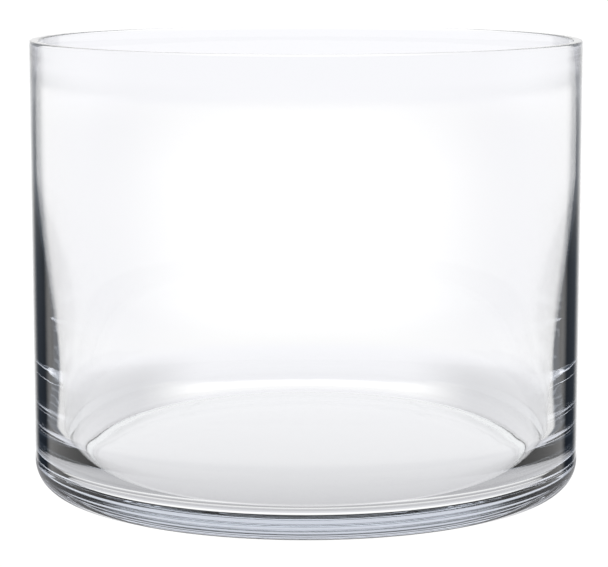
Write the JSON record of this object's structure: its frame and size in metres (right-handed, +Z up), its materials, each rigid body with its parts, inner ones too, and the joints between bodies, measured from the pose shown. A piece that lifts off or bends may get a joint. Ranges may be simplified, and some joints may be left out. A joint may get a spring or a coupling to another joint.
{
  "type": "glass cylinder vase",
  "caption": "Straight-sided clear glass cylinder vase with an open top, a flat rim, a heavy flat base and a rounded bottom edge.",
  "frame": {"origin": "centre of the standing face, on the vase's axis", "axes": "+Z up along the vase's axis, out of the mouth; the shape is the same all the way round, so +X and +Y are free"},
  "size_m": [0.254, 0.254, 0.208],
  "materials": {
    "clear_glass": "clear, polished, faintly cool glass with slight ripple on the inside of the heavy foot"
  },
  "bodies": {
    "root": {"vase_body": "clear_glass"}
  },
  "joints": []
}
